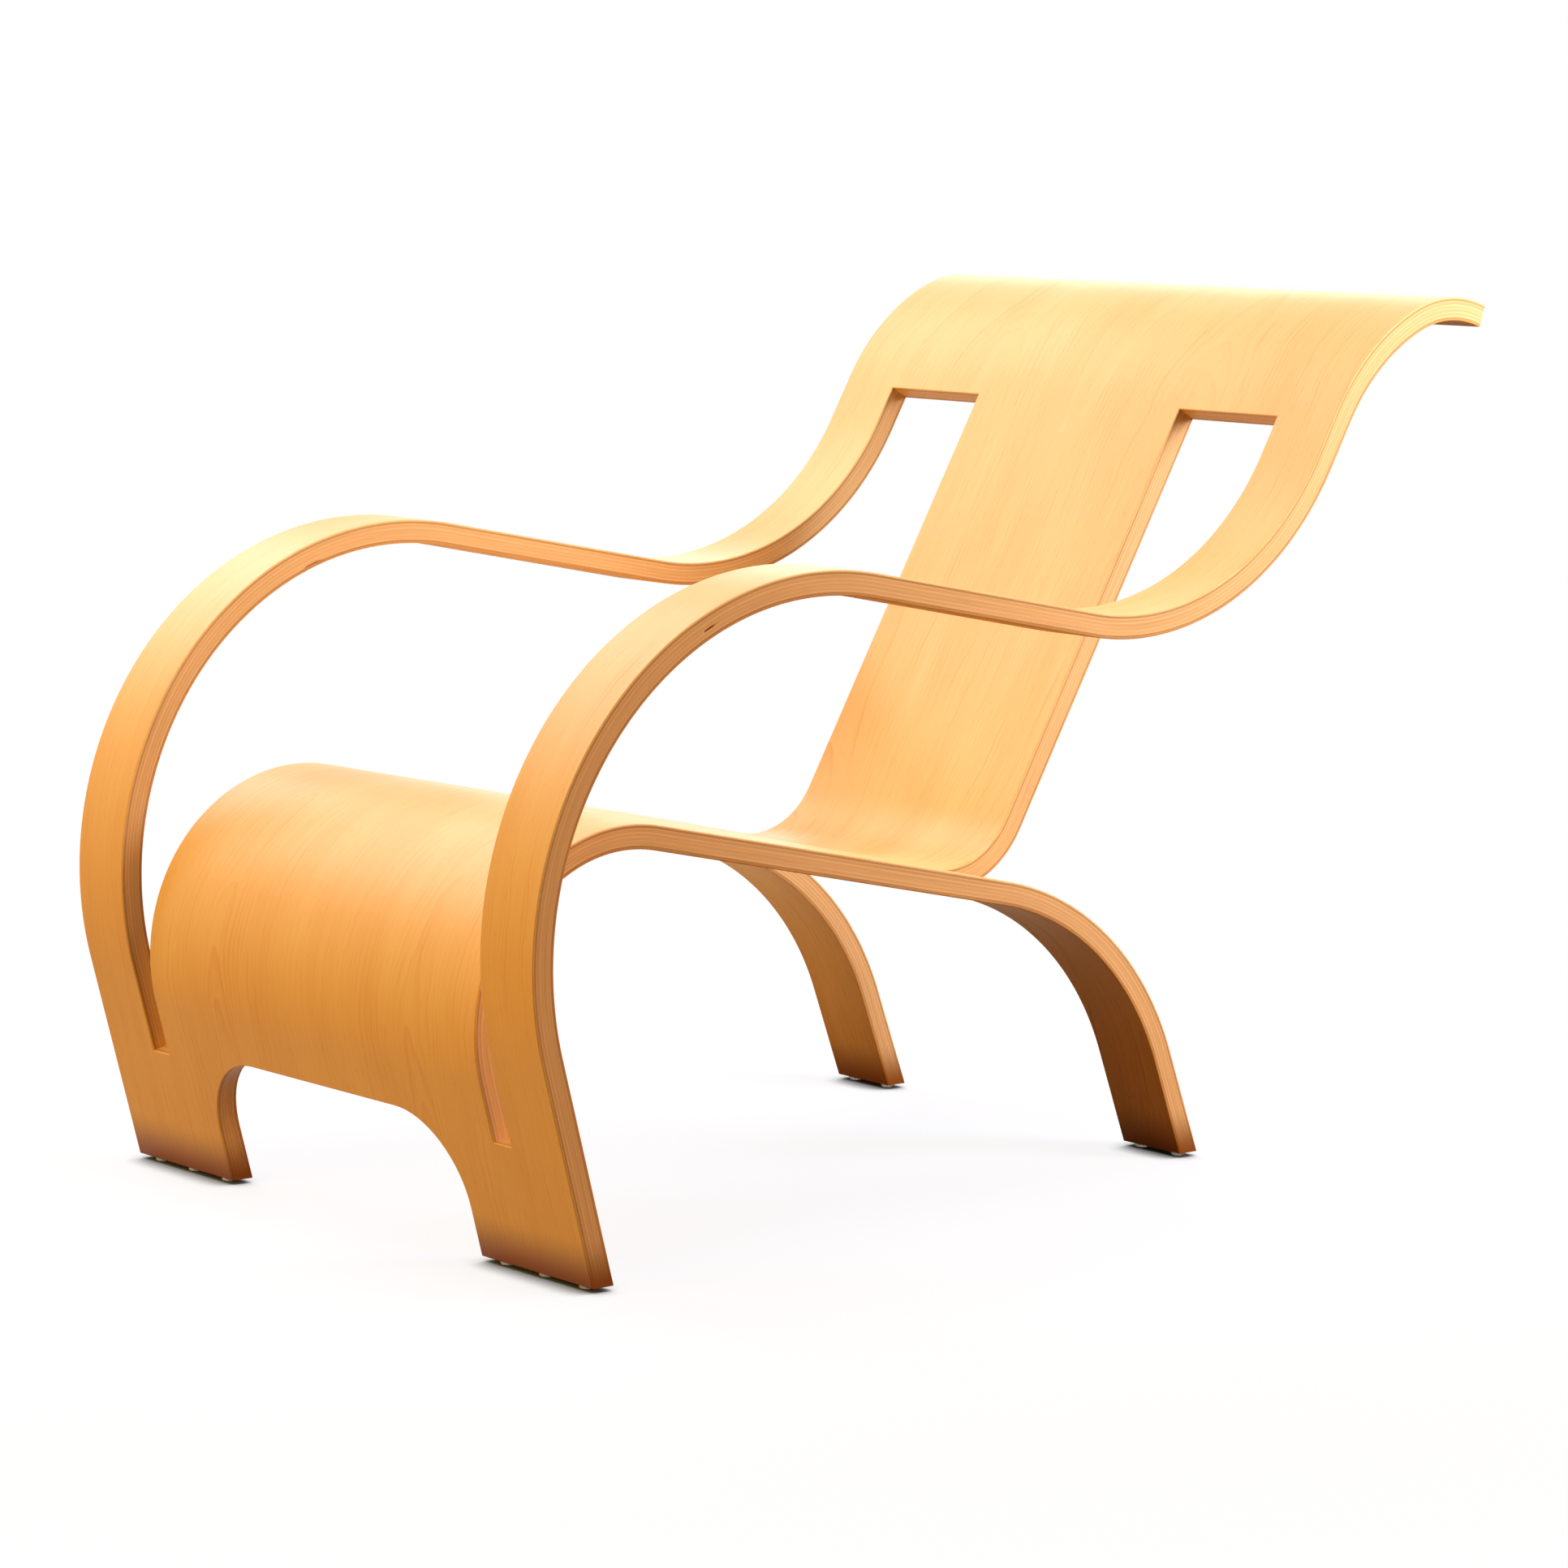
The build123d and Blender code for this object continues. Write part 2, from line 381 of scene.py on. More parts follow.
def face_birch(name, pale, dark, roughness, gloss):
    """Crown-cut birch face veneer, clear lacquered.

    Two book-matched leaves show soft arched growth lines, fine streaks along the length and short flecks,
    under a satin lacquer that goes pale where it is seen at a glancing angle.
    """
    material, tree = new_material(name)
    marks = add(tree, "ShaderNodeAttribute", attribute_name="blank", attribute_type="GEOMETRY")
    blank = marks.outputs["Vector"]
    flat = add(tree, "ShaderNodeSeparateXYZ", {0: blank}).outputs

    # Growth lines: rings around a heart that drops away behind the veneer, so each line closes in an arch
    sway = mottle(tree, blank, RING_SWAY_SIZE, detail=4.0, roughness=0.6)
    swayed = add(tree, "ShaderNodeMath", {0: sway, 1: RING_SWAY, 2: flat["X"]}, operation="MULTIPLY_ADD")
    from_seam = add(tree, "ShaderNodeMath", {0: swayed, 1: SEAM_AT + RING_SWAY / 2}, operation="SUBTRACT")
    in_leaf = add(tree, "ShaderNodeMath", {0: from_seam}, operation="ABSOLUTE")
    from_heart = add(tree, "ShaderNodeMath", {0: in_leaf, 1: LEAF_HEART}, operation="SUBTRACT")
    drop = mottle(tree, blank, HEART_SWAY_SIZE, detail=1.0)
    depth = add(tree, "ShaderNodeMath", {0: drop, 1: HEART_SWAY, 2: HEART_DEPTH}, operation="MULTIPLY_ADD")
    depth = add(tree, "ShaderNodeMath", {0: flat["Y"], 1: LOG_TAPER, 2: depth}, operation="MULTIPLY_ADD")
    to_heart = add(tree, "ShaderNodeCombineXYZ", {0: from_heart, 1: depth})
    radius = add(tree, "ShaderNodeVectorMath", {0: to_heart}, operation="LENGTH").outputs["Value"]
    years = add(tree, "ShaderNodeMath", {0: radius, 1: RING_WIDTH}, operation="DIVIDE")
    season = add(tree, "ShaderNodeMath", {0: years}, operation="FRACT")
    latewood = add(tree, "ShaderNodeMath", {0: season, 1: LATEWOOD_POWER}, operation="POWER")
    year = add(tree, "ShaderNodeMath", {0: years}, operation="FLOOR")
    growth = add(tree, "ShaderNodeTexWhiteNoise", {"W": year}, noise_dimensions="1D")
    ring = add(tree, "ShaderNodeMath", {0: latewood, 1: growth}, operation="MULTIPLY")
    patch = mottle(tree, blank, PATCH_SIZE, detail=2.0)
    clear = add(tree, "ShaderNodeMapRange", {
        "Value": patch, "From Min": 0.38, "From Max": 0.62, "To Min": 0.3, "To Max": 1.7})
    ring = add(tree, "ShaderNodeMath", {0: ring, 1: clear}, operation="MULTIPLY")

    # Streaks, flecks and a slow drift of tone; the finest pores are drawn about twice their real width
    streak = mottle(tree, blank, STREAK_SIZE, detail=3.0)
    pores = mottle(tree, blank, FLECK_SIZE, detail=1.0)
    fleck = add(tree, "ShaderNodeMapRange", {"Value": pores, "From Min": 0.66, "From Max": 0.76})
    drift = mottle(tree, blank, FACE_DRIFT_SIZE, detail=3.0)

    shade = darkness(tree, FACE_GROUND, [
        (ring, RING_SHADE), (streak, STREAK_SHADE), (fleck, FLECK_SHADE), (drift, FACE_DRIFT_SHADE)])
    wood = add(tree, "ShaderNodeMix", {0: shade, 6: colour(pale), 7: colour(dark)}, data_type="RGBA")
    relief = add(tree, "ShaderNodeBump", {"Strength": 0.25, "Distance": 0.05 * MM, "Height": shade})
    satin = add(tree, "ShaderNodeMapRange", {
        "Value": streak, "To Min": roughness - SATIN_CHANGE, "To Max": roughness + SATIN_CHANGE})
    surface = add(tree, "ShaderNodeBsdfPrincipled", {
        "Base Color": shaded_near_floor(tree, wood.outputs[2]), "Roughness": satin, "IOR": 1.5,
        "Specular IOR Level": gloss, "Normal": relief})
    show_surface(tree, surface)
    return material


def edge_birch(name, edge, end, edge_grain, end_grain, dark_outer):
    """A birch ply as its sawn, sanded and lacquered edges show it.

    Long edges and cut ends have their own colour and grain, one of them end grain, darker and dotted, and
    the other side grain, paler and streaked. Plies differ a little, and a thin brown glue line parts them.
    """
    material, tree = new_material(name)
    marks = add(tree, "ShaderNodeAttribute", attribute_name="blank", attribute_type="GEOMETRY")
    blank = marks.outputs["Vector"]
    depth = add(tree, "ShaderNodeSeparateXYZ", {0: blank}).outputs["Z"]

    # A long edge faces sideways, a cut end doesn't
    normal = add(tree, "ShaderNodeNewGeometry").outputs["Normal"]
    facing = add(tree, "ShaderNodeSeparateXYZ", {0: normal}).outputs["X"]
    sideways = add(tree, "ShaderNodeMath", {0: facing}, operation="ABSOLUTE")
    is_edge = add(tree, "ShaderNodeMath", {0: sideways, 1: TURNED_SHARE}, operation="GREATER_THAN")
    edge_at = add(tree, "ShaderNodeMapping", {"Vector": blank, "Scale": scale_for(edge_grain)})
    end_at = add(tree, "ShaderNodeMapping", {"Vector": blank, "Scale": scale_for(end_grain)})
    grain_at = add(tree, "ShaderNodeMix", {0: is_edge, 4: end_at, 5: edge_at}, data_type="VECTOR")
    grain = add(tree, "ShaderNodeTexNoise", {"Vector": grain_at.outputs[1], "Scale": 1.0, "Detail": 3.0})
    drift = mottle(tree, blank, EDGE_DRIFT_SIZE, detail=2.0)

    # Each ply has its own tone, glue lies between plies, and the cross plies behind the faces may be darker
    ply = add(tree, "ShaderNodeMath", {0: depth, 1: PLY_THICKNESS}, operation="DIVIDE")
    ply = add(tree, "ShaderNodeMath", {0: ply}, operation="FLOOR")
    tone = add(tree, "ShaderNodeTexWhiteNoise", {"W": ply}, noise_dimensions="1D")
    to_glue = add(tree, "ShaderNodeMath", {0: depth, 1: PLY_THICKNESS / 2}, operation="PINGPONG")
    glue = add(tree, "ShaderNodeMapRange", {
        "Value": to_glue, "From Min": GLUE_WIDTH, "From Max": GLUE_FADE,
        "To Min": GLUE_SHADE, "To Max": 0.0})
    from_middle = add(tree, "ShaderNodeMath", {0: depth, 1: SHEET / 2}, operation="SUBTRACT")
    from_middle = add(tree, "ShaderNodeMath", {0: from_middle}, operation="ABSOLUTE")
    second_ply = SHEET / 2 - 2 * PLY_THICKNESS
    outer = add(tree, "ShaderNodeMapRange", {
        "Value": from_middle, "From Min": second_ply - PLY_BLUR, "From Max": second_ply + PLY_BLUR,
        "To Max": dark_outer})

    shade = darkness(tree, EDGE_GROUND, [
        (grain, GRAIN_SHADE), (drift, EDGE_DRIFT_SHADE), (tone, PLY_SHADE), (outer, 1.0), (glue, 1.0)])
    wood = add(tree, "ShaderNodeMix", {0: is_edge, 6: colour(end), 7: colour(edge)}, data_type="RGBA")
    stained = add(tree, "ShaderNodeMix", {0: shade, 6: wood.outputs[2], 7: colour(EDGE_BROWN)},
                  data_type="RGBA")
    relief = add(tree, "ShaderNodeBump", {"Strength": 0.3, "Distance": 0.08 * MM, "Height": shade},
                 invert=True)
    surface = add(tree, "ShaderNodeBsdfPrincipled", {
        "Base Color": shaded_near_floor(tree, stained.outputs[2]), "Roughness": 0.46, "Specular IOR Level": 0.1,
        "Normal": relief})
    show_surface(tree, surface)
    return material


def glide_nylon():
    """Moulded natural nylon: milky off-white, a little see-through, with faint scuffs and a soft sheen."""
    material, tree = new_material("moulded_natural_nylon")
    place = add(tree, "ShaderNodeTexCoord").outputs["Object"]
    scuff = mottle(tree, place, (1.5 * MM, 1.5 * MM, 1.5 * MM), detail=4.0)
    dirt = add(tree, "ShaderNodeMapRange", {
        "Value": scuff, "From Min": 0.45, "From Max": 0.75, "To Max": 0.35})
    tint = add(tree, "ShaderNodeMix", {0: dirt, 6: colour("F6F3EC"), 7: colour("D2C9B8")},
               data_type="RGBA")
    sheen = add(tree, "ShaderNodeMapRange", {"Value": scuff, "To Min": 0.34, "To Max": 0.52})
    relief = add(tree, "ShaderNodeBump", {"Strength": 0.2, "Distance": 0.05 * MM, "Height": scuff})
    surface = add(tree, "ShaderNodeBsdfPrincipled", {
        "Base Color": tint.outputs[2], "Roughness": sheen, "IOR": 1.53, "Transmission Weight": 0.6,
        "Normal": relief})
    show_surface(tree, surface)
    return material


def nail_steel():
    """Bright drawn steel wire: grey metal with fine lines along the shank."""
    material, tree = new_material("drawn_steel_wire")
    place = add(tree, "ShaderNodeTexCoord").outputs["Object"]

    # The lines are drawn several times their real width, or they would never show
    drawn = mottle(tree, place, (0.2 * MM, 0.2 * MM, 4 * MM), detail=2.0)
    tint = add(tree, "ShaderNodeMix", {0: drawn, 6: colour("B9B7B2"), 7: colour("8E8B86")},
               data_type="RGBA")
    polish = add(tree, "ShaderNodeMapRange", {"Value": drawn, "To Min": 0.25, "To Max": 0.42})
    surface = add(tree, "ShaderNodeBsdfPrincipled", {
        "Base Color": tint.outputs[2], "Roughness": polish, "Metallic": 1.0})
    show_surface(tree, surface)
    return material


# The under face is duller than the show face under its thinner lacquer, and darker, which is painted shade
SHOW_FACE = face_birch(
    "satin_lacquered_crown_cut_birch", pale="FBD296", dark="EAB16A", roughness=0.40, gloss=0.20)
# Painted shade: the under face's pale and dark colours are deepened for the shade it lies in
SHADED_UNDER_FACE = face_birch(
    "thinly_lacquered_birch_with_painted_shade", pale="EDB468", dark="D08E42", roughness=0.60, gloss=0.10)

# Long plies show side grain in the long edges and end grain in the cut ends. In cross plies it is the other
# way round. Grain sizes are across, along and through the blank.
LONG = edge_birch(
    "lacquered_birch_long_ply", edge="F8CC92", end="F0BC80",
    edge_grain=(1, 40, 0.4), end_grain=(0.8, 1, 0.6), dark_outer=0.0)
CROSS = edge_birch(
    "lacquered_birch_cross_ply", edge="F0C086", end="FAD09A",
    edge_grain=(1, 0.8, 0.6), end_grain=(40, 1, 0.4), dark_outer=0.4)
NYLON = glide_nylon()
STEEL = nail_steel()


# Sheet
def blank_outlines(side, voids):
    """The strips of one half of the flat blank, as outlines of (distance from the middle, place along)."""
    arch_top = ARCH_EDGE - ARCH_RADIUS
    arch_spring = ARCH_HEIGHT - ARCH_RADIUS
    slot_angle = degrees(asin((SLOT_START - arch_spring) / ARCH_RADIUS))

    def arch(start, end):
        count = ceil((end - start) / ARCH_STEP)
        angles = [radians(start + (end - start) * k / count) for k in range(count + 1)]
        return [(arch_top + ARCH_RADIUS * cos(a), arch_spring + ARCH_RADIUS * sin(a)) for a in angles]

    def arm_edge(place, into):
        points = [(place, SLOT_START)]
        for void in voids:
            if void.edge == side * place:
                quarter = (void.end - void.start) / 4
                points += [(place, void.start), (place + into * void.depth, void.start + quarter)]
                points += [(place + into * void.depth, void.end - quarter), (place, void.end)]
        return points + [(place, joint_at)]

    low_arch = arch(0, slot_angle)
    high_arch = arch(slot_angle, 90)
    return [
        [(ARCH_EDGE, 0), (ARM_EDGE, 0), (ARM_EDGE, SLOT_START), (ARM_INNER_EDGE, SLOT_START),
         (SEAT_EDGE, SLOT_START)] + low_arch[::-1],
        [(SEAT_EDGE, SLOT_START), (SEAT_EDGE, split_at), (LEG_INNER_EDGE, split_at), (BACK_EDGE, split_at),
         (0, split_at), (0, ARCH_HEIGHT)] + high_arch[::-1],
        arm_edge(ARM_EDGE, -1) + arm_edge(ARM_INNER_EDGE, 1)[::-1],
        [(0, split_at), (BACK_EDGE, split_at), (BACK_EDGE, joint_at), (0, joint_at)],
        [(LEG_INNER_EDGE, split_at), (SEAT_EDGE, split_at), (SEAT_EDGE, leg_end_at),
         (LEG_INNER_EDGE, leg_end_at)],
        [(0, joint_at), (BACK_EDGE, joint_at), (ARM_INNER_EDGE, joint_at), (ARM_EDGE, joint_at),
         (ARM_EDGE, tip_at), (0, tip_at)],
    ]


def flat_blank(voids):
    """One veneer of the blank, cut flat and without thickness, divided so that it can bend."""
    bm = bmesh.new()
    for side in (1, -1):
        for strip in blank_outlines(side, voids):
            corners = [bm.verts.new((side * x * MM, run * MM, 0)) for x, run in strip]
            bm.faces.new(corners[::side])
    bmesh.ops.remove_doubles(bm, verts=bm.verts, dist=WELD_REACH)
    for run in range(STATION_GAP, int(tip_at), STATION_GAP):
        bmesh.ops.bisect_plane(bm, geom=bm.verts[:] + bm.edges[:] + bm.faces[:], dist=WELD_REACH,
                               plane_co=(0, run * MM, 0), plane_no=(0, 1, 0))
    return bm


def line_and_run(x, run, depth):
    """Which line a point of the flat blank is bent over, and how far along that line it comes."""
    from_middle = abs(x)
    if from_middle > (SEAT_EDGE + ARM_INNER_EDGE) / 2 or run <= SLOT_START or run > joint_at:
        level = max(0, 1 - run / MITRE_REACH) * tan(radians(FOOT_LEAN))
        if run > joint_at:
            run += arm_joint_at - joint_at
        elif run > SLOT_START:
            run = SLOT_START + (run - SLOT_START) * (arm_joint_at - SLOT_START) / (joint_at - SLOT_START)
        return ARM, run - level * depth
    if from_middle > (BACK_EDGE + LEG_INNER_EDGE) / 2 and run > split_at:
        level = max(0, 1 - (leg_end_at - run) / MITRE_REACH) * tan(radians(LEG_RAKE))
        return LEG, run - level * depth
    return SEAT, run


def is_arris(edge, face_height):
    """Whether an edge of a flat veneer lies in the face at this height, along a cut."""
    in_face = all(abs(v.co.z / MM - face_height) < FACE_REACH for v in edge.verts)
    return in_face and any(abs(face.normal.z) < TURNED_SHARE for face in edge.link_faces)


def plain_mesh(name, bm):
    """The finished mesh, smooth apart from its sharp edges."""
    for face in bm.faces:
        face.smooth = True
    for edge in bm.edges:
        edge.smooth = edge.calc_face_angle(0) < radians(SHARP_ANGLE)
    mesh = bpy.data.meshes.new(name)
    bm.to_mesh(mesh)
    bm.free()
    return mesh


def flat_veneer(name, index, blank):
    """A veneer with its thickness, at its depth in the sheet, and with what it takes to bend it."""
    bm = blank.copy()
    top = -index * PLY_THICKNESS
    bmesh.ops.translate(bm, vec=(0, 0, top * MM), verts=bm.verts)
    grown = bmesh.ops.extrude_face_region(bm, geom=bm.faces[:])
    lower = [item for item in grown["geom"] if isinstance(item, bmesh.types.BMVert)]
    bmesh.ops.translate(bm, vec=(0, 0, -PLY_THICKNESS * MM), verts=lower)
    bmesh.ops.recalc_face_normals(bm, faces=bm.faces)
    if index in (0, PLY_COUNT - 1):
        outer = 0 if index == 0 else -SHEET
        arris = [edge for edge in bm.edges if is_arris(edge, outer)]
        bmesh.ops.bevel(bm, geom=arris, offset=ARRIS_RADIUS * MM, offset_type="OFFSET",
                        segments=ARRIS_SEGMENTS, profile=0.5, affect="EDGES")
    mesh = plain_mesh(name, bm)

    # The line and the run say where a point is bent to, and the blank keeps its place for the grain
    places = [tuple(v.co / MM) for v in mesh.vertices]
    bent = [line_and_run(x, run, -z) for x, run, z in places]
    flat = [value for x, run, z in places for value in (x, run, -z)]
    mesh.attributes.new("line", "INT", "POINT").data.foreach_set("value", [line for line, run in bent])
    mesh.attributes.new("run", "FLOAT", "POINT").data.foreach_set("value", [run * MM for line, run in bent])
    mesh.attributes.new("blank", "FLOAT_VECTOR", "POINT").data.foreach_set("vector", flat)
    return mesh


def line_curve(name, places):
    """One of the lines of the side view as a curve in the chair's middle plane."""
    curve = bpy.data.curves.new(name, "CURVE")
    curve.dimensions = "3D"
    spline = curve.splines.new("POLY")
    spline.points.add(len(places) - 1)
    for point, place in zip(spline.points, places):
        point.co = (0, place.y * MM, place.z * MM, 1)
    return new_object(name, curve)


def new_shaping(name, inputs):
    """An empty tree of geometry nodes with named inputs, and the sockets that give them."""
    tree = bpy.data.node_groups.new(name, "GeometryNodeTree")
    for socket, kind in {"Geometry": "Geometry", **inputs, "material": "Material"}.items():
        tree.interface.new_socket(socket, in_out="INPUT", socket_type="NodeSocket" + kind)
    tree.interface.new_socket("Geometry", in_out="OUTPUT", socket_type="NodeSocketGeometry")
    return tree, add(tree, "NodeGroupInput").outputs


def end_shaping(tree, given, shape):
    """End a tree of geometry nodes with real faces in the given material."""
    whole = add(tree, "GeometryNodeRealizeInstances", {0: shape})
    coloured = add(tree, "GeometryNodeSetMaterial", {"Geometry": whole, "Material": given["material"]})
    add(tree, "NodeGroupOutput", {0: coloured})


def bending_tree():
    """Geometry nodes that bend a flat veneer over the lines of the side view."""
    tree, given = new_shaping("bend_over_lines", {**dict.fromkeys(LINES, "Object"), "lead": "Float"})
    position = add(tree, "GeometryNodeInputPosition")
    flat = add(tree, "ShaderNodeSeparateXYZ", {0: position}).outputs
    run = add(tree, "GeometryNodeInputNamedAttribute", {"Name": "run"}, data_type="FLOAT")
    line = add(tree, "GeometryNodeInputNamedAttribute", {"Name": "line"}, data_type="INT")
    along = add(tree, "ShaderNodeMath", {0: run, 1: given["lead"]}, operation="ADD")
    place = add(tree, "GeometryNodeIndexSwitch", {"Index": line}, data_type="VECTOR")
    heading = add(tree, "GeometryNodeIndexSwitch", {"Index": line}, data_type="VECTOR")
    place.index_switch_items.new()
    heading.index_switch_items.new()
    for index, name in enumerate(LINES):
        shape = add(tree, "GeometryNodeObjectInfo", {"Object": given[name]})
        sample = add(tree, "GeometryNodeSampleCurve", {
            "Curves": shape.outputs["Geometry"], "Length": along}, mode="LENGTH")
        tree.links.new(sample.outputs["Position"], place.inputs[index + 1])
        tree.links.new(sample.outputs["Tangent"], heading.inputs[index + 1])
    inwards = add(tree, "ShaderNodeVectorMath", {0: heading, 1: (-1, 0, 0)}, operation="CROSS_PRODUCT")
    sunk = add(tree, "ShaderNodeVectorMath", {0: inwards, "Scale": flat["Z"]}, operation="SCALE")
    across = add(tree, "ShaderNodeCombineXYZ", {0: flat["X"]})
    moved = add(tree, "ShaderNodeVectorMath", {0: place, 1: sunk}, operation="ADD")
    moved = add(tree, "ShaderNodeVectorMath", {0: moved, 1: across}, operation="ADD")
    bent = add(tree, "GeometryNodeSetPosition", {"Geometry": given["Geometry"], "Position": moved})
    end_shaping(tree, given, bent)
    return tree


def shaped(name, mesh, tree, values):
    """A piece made from a mesh by geometry nodes with the given inputs, left as a plain mesh."""
    piece = new_object(name, mesh)
    nodes = piece.modifiers.new("shape", "NODES")
    nodes.node_group = tree
    for item in tree.interface.items_tree:
        if item.in_out == "INPUT" and item.name in values:
            nodes[item.identifier] = values[item.name]
    normals = piece.modifiers.new("normals", "WEIGHTED_NORMAL")
    normals.keep_sharp = True
    depsgraph = bpy.context.evaluated_depsgraph_get()
    piece.data = bpy.data.meshes.new_from_object(
        piece.evaluated_get(depsgraph), preserve_all_data_layers=True, depsgraph=depsgraph)
    piece.modifiers.clear()
    bpy.data.meshes.remove(mesh)
    return piece


curves = {name: line_curve(name, places) for name, places in LINES.items()}
bending = bending_tree()
plain_blank = flat_blank([])
for index in range(PLY_COUNT):
    if index == 0:
        node, slot, material = "show_face_veneer", "birch_face", SHOW_FACE
    elif index == PLY_COUNT - 1:
        node, slot, material = "under_face_veneer", "birch_face", SHADED_UNDER_FACE
    elif index % 2:
        node, slot, material = f"cross_veneer_{index + 1:02d}", "birch_cross_grain", CROSS
    else:
        node, slot, material = f"long_veneer_{index + 1:02d}", "birch_long_grain", LONG
    voids = [void for void in EDGE_VOIDS if void.ply == index]
    flat = flat_veneer(node + "_flat", index, flat_blank(voids) if voids else plain_blank)
    veneer = shaped(node + "_bent", flat, bending, {**curves, "lead": LINE_LEAD * MM, "material": material})
    veneer.data.attributes.remove(veneer.data.attributes["run"])
    veneer.data.attributes.remove(veneer.data.attributes["line"])
    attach(veneer, "root")
    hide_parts(node)
plain_blank.free()
for curve in curves.values():
    bpy.data.objects.remove(curve)


# Glides
def glide_template():
    """A turned button with a flat top against the wood and a rounded foot."""
    radius = GLIDE_DIAMETER / 2
    turn = [radians(90 * k / GLIDE_SEGMENTS) for k in range(GLIDE_SEGMENTS + 1)]
    inner = radius - GLIDE_EDGE_RADIUS
    foot_arc = [(inner + GLIDE_EDGE_RADIUS * sin(a), GLIDE_EDGE_RADIUS * (1 - cos(a))) for a in turn]
    profile = [(0, 0)] + foot_arc + [(radius, GLIDE_HEIGHT), (0, GLIDE_HEIGHT)]
    bm = bmesh.new()
    verts = [bm.verts.new((r * MM, 0, z * MM)) for r, z in profile]
    edges = [bm.edges.new(pair) for pair in zip(verts, verts[1:])]
    bmesh.ops.spin(bm, geom=verts + edges, cent=(0, 0, 0), axis=(0, 0, 1), angle=radians(360),
                   steps=GLIDE_SIDES, use_merge=True)
    bmesh.ops.remove_doubles(bm, verts=bm.verts, dist=WELD_REACH)
    bmesh.ops.recalc_face_normals(bm, faces=bm.faces)
    return new_object("glide_template", plain_mesh("glide_template", bm))


def standing_tree():
    """Geometry nodes that stand one part on each point."""
    tree, given = new_shaping("stand_on_points", {"part": "Object"})
    part = add(tree, "GeometryNodeObjectInfo", {"Object": given["part"]})
    placed = add(tree, "GeometryNodeInstanceOnPoints", {
        "Points": given["Geometry"], "Instance": part.outputs["Geometry"]})
    end_shaping(tree, given, placed)
    return tree


glide_nodes = [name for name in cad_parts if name.endswith("_glide")]
spots = []
for name in glide_nodes:
    low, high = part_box(name)
    spots.append(((low.x + high.x) / 2, (low.y + high.y) / 2, low.z))
spot_mesh = bpy.data.meshes.new("glide_spots")
spot_mesh.from_pydata(spots, [], [])
template = glide_template()
glides = shaped("glides", spot_mesh, standing_tree(), {"part": template, "material": NYLON})
bpy.data.objects.remove(template)
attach(glides, "root")
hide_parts(*glide_nodes)

for name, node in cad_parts.items():
    if name.endswith("_nail"):
        node.data.materials.clear()
        node.data.materials.append(STEEL)


# Floor
def is_seen(tree):
    """1 where it is seen, straight, mirrored or through nylon, and 0 where it only lights other surfaces."""
    path = add(tree, "ShaderNodeLightPath").outputs
    seen = path["Is Camera Ray"]
    for ray in ("Is Glossy Ray", "Is Transmission Ray"):
        seen = add(tree, "ShaderNodeMath", {0: seen, 1: path[ray]}, operation="MAXIMUM").outputs[0]
    return seen


def floor_material():
    """A seamless white studio floor.

    To the eye it is plain white, with a soft shadow and a dark line of painted contact shadow under the
    feet. What it throws back on the chair is the light of a darker, warm floor.
    """
    material, tree = new_material("white_studio_floor")
    # Painted contact shadow: ambient occlusion darkens the floor's glow under and beside the feet
    contact_shade = add(tree, "ShaderNodeAmbientOcclusion", {"Distance": CONTACT_SHADE_REACH * MM}, samples=8)
    clear = add(tree, "ShaderNodeMapRange", {
        "Value": contact_shade.outputs["AO"], "From Min": 0.3, "From Max": 0.8, "To Max": FLOOR_GLOW})
    place = add(tree, "ShaderNodeTexCoord").outputs["Object"]
    reach = add(tree, "ShaderNodeVectorMath", {0: place}, operation="LENGTH").outputs["Value"]
    far = add(tree, "ShaderNodeMapRange", {"Value": reach, "From Min": FADE_START, "From Max": FADE_END},
              interpolation_type="SMOOTHSTEP")
    glow = add(tree, "ShaderNodeEmission", {"Color": colour(WHITE), "Strength": clear})
    shadow = add(tree, "ShaderNodeBsdfDiffuse", {"Color": colour("6C717E")})
    near_floor = add(tree, "ShaderNodeAddShader", {0: glow, 1: shadow})
    far_floor = add(tree, "ShaderNodeEmission", {"Color": colour(WHITE), "Strength": 1.0})
    seen_floor = add(tree, "ShaderNodeMixShader", {0: far, 1: near_floor, 2: far_floor})
    warm_floor = add(tree, "ShaderNodeBsdfDiffuse", {"Color": colour("6A4C22")})
    surface = add(tree, "ShaderNodeMixShader", {0: is_seen(tree), 1: warm_floor, 2: seen_floor})
    show_surface(tree, surface)
    return material


half = FLOOR_SIZE / 2
corners = [(-half, -half, 0), (half, -half, 0), (half, half, 0), (-half, half, 0)]
floor_mesh = bpy.data.meshes.new("floor")
floor_mesh.from_pydata(corners, [], [(0, 1, 2, 3)])
floor_mesh.materials.append(floor_material())
floor = new_object("floor", floor_mesh)


# Light
def softbox(name, location, aim, size, power, tint=WHITE, glare=True, spread=180):
    """A soft lamp aimed at a point, in metres and watts, whose light spreads by an angle.

    Without glare it lights surfaces but doesn't shine in them.
    """
    light = bpy.data.lights.new(name, "AREA")
    light.shape = "RECTANGLE"
    light.size, light.size_y = size
    light.energy = power
    light.color = colour(tint)[:3]
    light.spread = radians(spread)
    lamp = new_object(name, light)
    lamp.location = location
    lamp.rotation_euler = (Vector(aim) - Vector(location)).to_track_quat("-Z", "Y").to_euler()
    lamp.visible_camera = False
    lamp.visible_glossy = glare


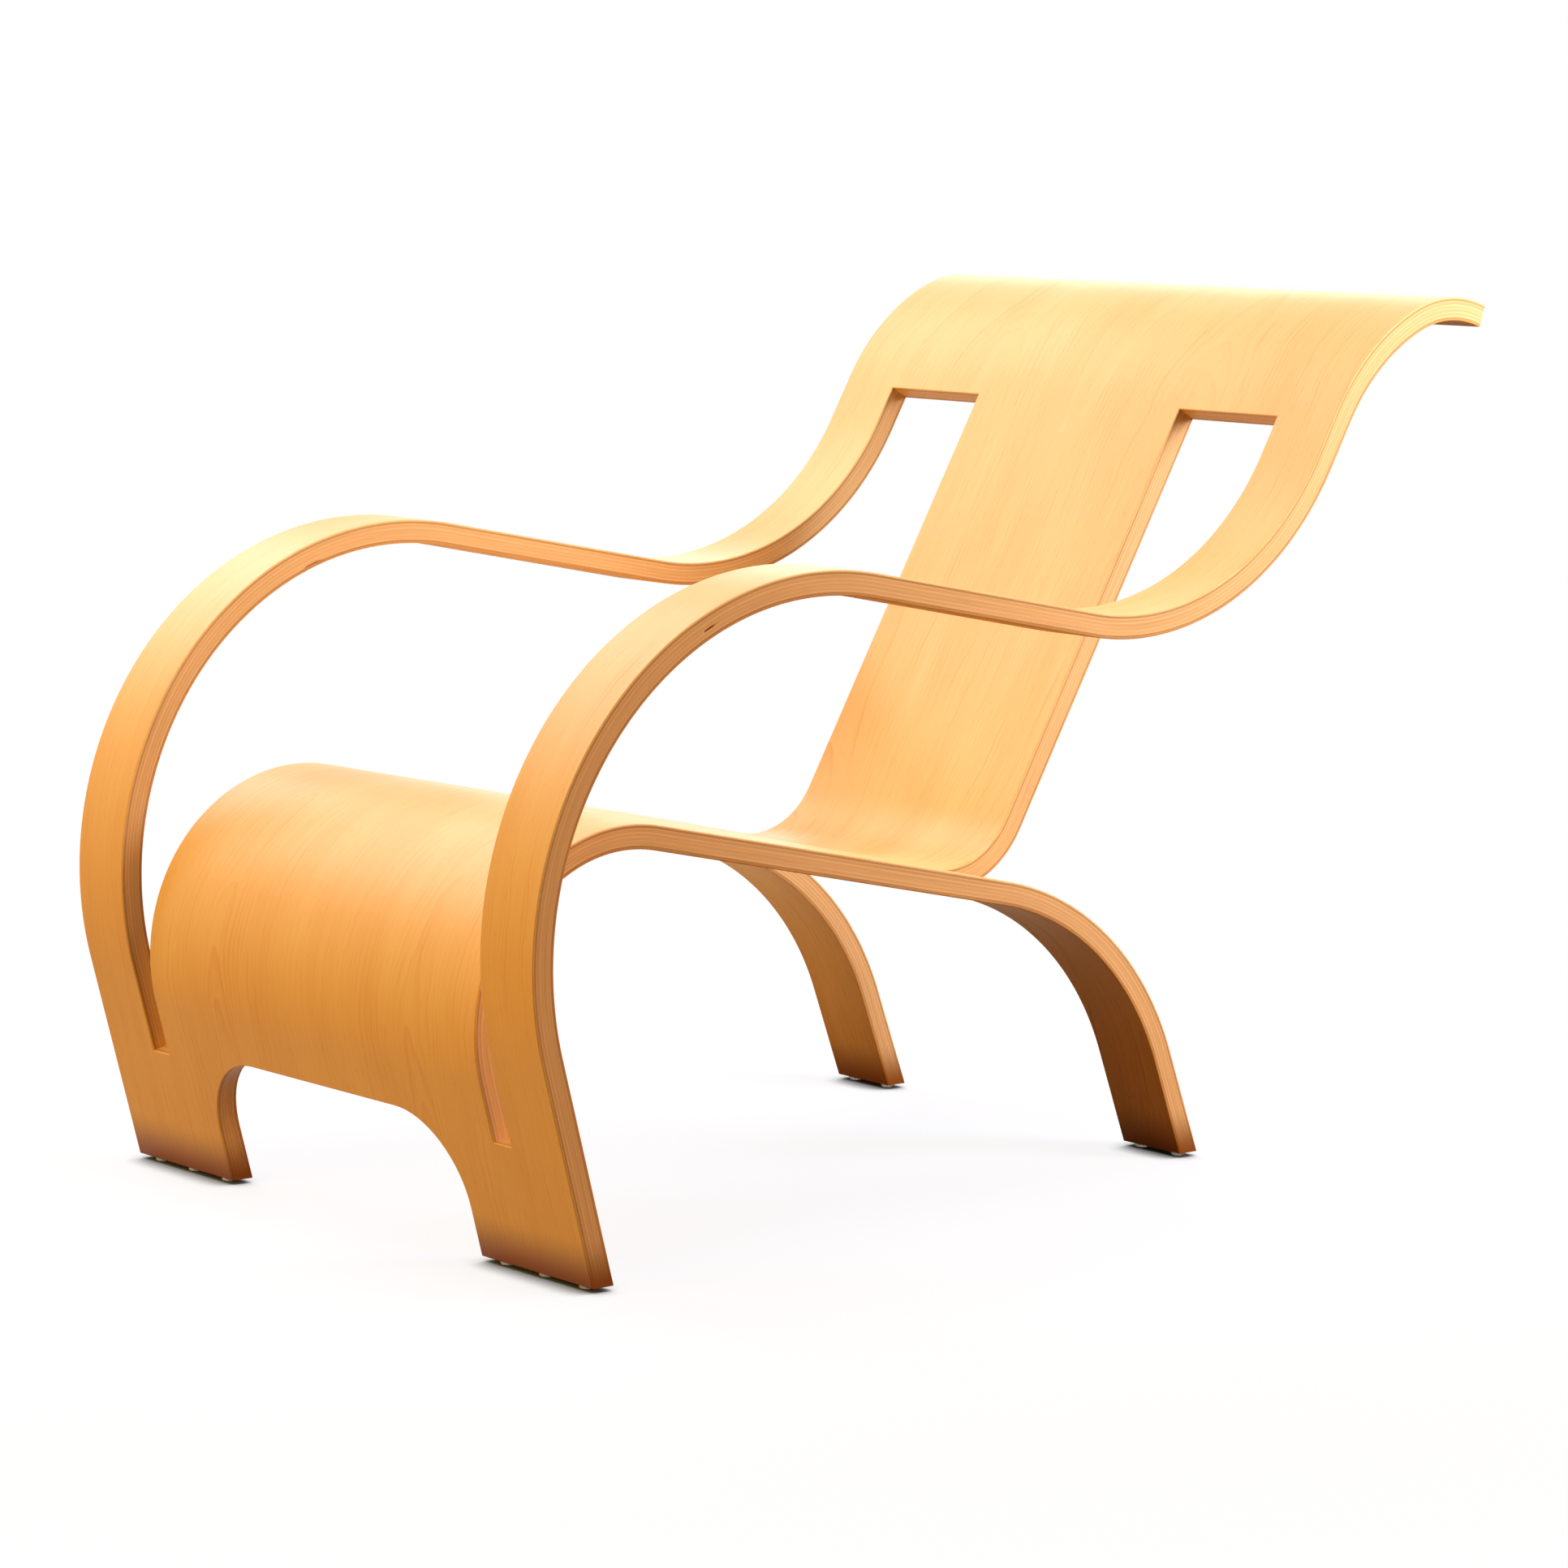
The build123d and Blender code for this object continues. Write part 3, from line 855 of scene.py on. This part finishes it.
# White light from the far side and above, and warm light from the front and on the near edges
softbox("left_softbox", location=(-1.9, -0.45, 2.0), aim=(0, 0.1, 0.5), size=(2.4, 1.3), power=42)
softbox("top_softbox", location=(0.25, -0.1, 2.4), aim=(0, 0.1, 0.4), size=(2.0, 1.0), power=26)
softbox("front_softbox", location=(-0.35, -2.8, 1.15), aim=(0, 0, 0.35), size=(2.4, 1.4), power=47,
        tint="FFC840")
softbox("right_softbox", location=(2.0, 0.9, 1.0), aim=(0.2, 0.1, 0.4), size=(1.0, 1.0), power=22,
        tint="FFB854")

# Cool light on the upper rear edges, light thrown up from the floor by the far arm, and light on the back
softbox("side_softbox", location=(1.2, 1.0, 0.95), aim=(0.3, 0.45, 0.6), size=(0.6, 0.6), power=5.2,
        tint="E6F0FF", glare=False, spread=80)
softbox("lit_floor", location=(-0.35, -0.12, 0.012), aim=(-0.35, -0.1, 1.0), size=(0.3, 0.2), power=0.8,
        glare=False)
softbox("rear_softbox", location=(-1.7, 2.0, 1.3), aim=(0, 0, 0.4), size=(1.6, 1.2), power=13)

# A white backdrop to the eye that fills the shadows with a little warm light
world = bpy.data.worlds.new("studio")
world.use_nodes = True
sky = world.node_tree
sky.nodes.clear()
fill = add(sky, "ShaderNodeBackground", {"Color": colour("FFBC52"), "Strength": 0.07})
backdrop = add(sky, "ShaderNodeBackground", {"Color": colour(WHITE), "Strength": 1.0})
studio = add(sky, "ShaderNodeMixShader", {0: is_seen(sky), 1: fill, 2: backdrop})
add(sky, "ShaderNodeOutputWorld", {"Surface": studio})
bpy.context.scene.world = world

# Camera
azimuth = radians(CAMERA_AZIMUTH)
elevation = radians(CAMERA_ELEVATION)
aim = Vector(CAMERA_AIM) * MM
towards = Vector((sin(azimuth) * cos(elevation), -cos(azimuth) * cos(elevation), sin(elevation)))
camera_data = bpy.data.cameras.new("camera")
camera_data.sensor_width = CAMERA_SENSOR
camera_data.lens = CAMERA_LENS
camera = new_object("camera", camera_data)
turn = (-towards).to_track_quat("-Z", "Y").to_matrix().to_4x4()
roll = Matrix.Rotation(radians(CAMERA_ROLL), 4, "Z")
camera.matrix_world = Matrix.Translation(aim + towards * CAMERA_DISTANCE * MM) @ turn @ roll
bpy.context.scene.camera = camera
bpy.context.scene.view_settings.view_transform = "Standard"
